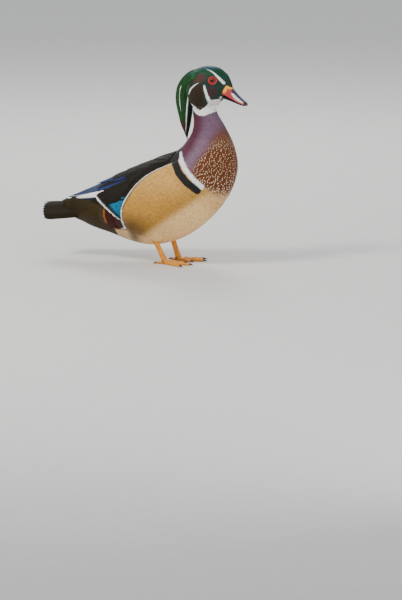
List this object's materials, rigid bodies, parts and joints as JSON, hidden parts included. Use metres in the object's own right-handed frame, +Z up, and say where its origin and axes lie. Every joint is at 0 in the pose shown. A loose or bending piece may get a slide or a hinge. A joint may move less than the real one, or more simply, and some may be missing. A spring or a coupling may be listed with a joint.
{
  "type": "wood duck drake",
  "caption": "Still life-size drake wood duck standing with raised neck, drooping crest, folded wings and webbed feet.",
  "frame": {"origin": "middle of the bird's outline, on the floor under its feet", "axes": "+X towards the bill, +Y to the bird's left, +Z up"},
  "size_m": [0.3496, 0.1292, 0.321],
  "materials": {
    "green_plumage": "glossy dark green feathers",
    "chestnut_plumage": "soft chestnut feathers with white spots",
    "flank_plumage": "finely barred tan feathers with a pale belly",
    "belly_plumage": "soft pale feathers",
    "dark_plumage": "black feathers with blue and bronze sheen",
    "bill": "satin horn, red, white and black",
    "bill_dark": "satin black horn",
    "eye": "wet gloss, red iris round a black pupil",
    "legs": "scaly orange skin",
    "claws": "satin black horn"
  },
  "bodies": {
    "root": {"bill_lower": "bill_dark", "bill_upper": "bill", "breast": "chestnut_plumage", "claw_hind_left": "claws", "claw_hind_right": "claws", "claw_inner_left": "claws", "claw_inner_right": "claws", "claw_middle_left": "claws", "claw_middle_right": "claws", "claw_outer_left": "claws", "claw_outer_right": "claws", "crest": "green_plumage", "eye_left": "eye", "eye_right": "eye", "foot_left": "legs", "foot_right": "legs", "head": "green_plumage", "neck": "chestnut_plumage", "rump": "dark_plumage", "shank_left": "legs", "shank_right": "legs", "tail": "dark_plumage", "thigh_left": "belly_plumage", "thigh_right": "belly_plumage", "torso": "flank_plumage", "wing_left": "dark_plumage", "wing_right": "dark_plumage"}
  },
  "joints": []
}
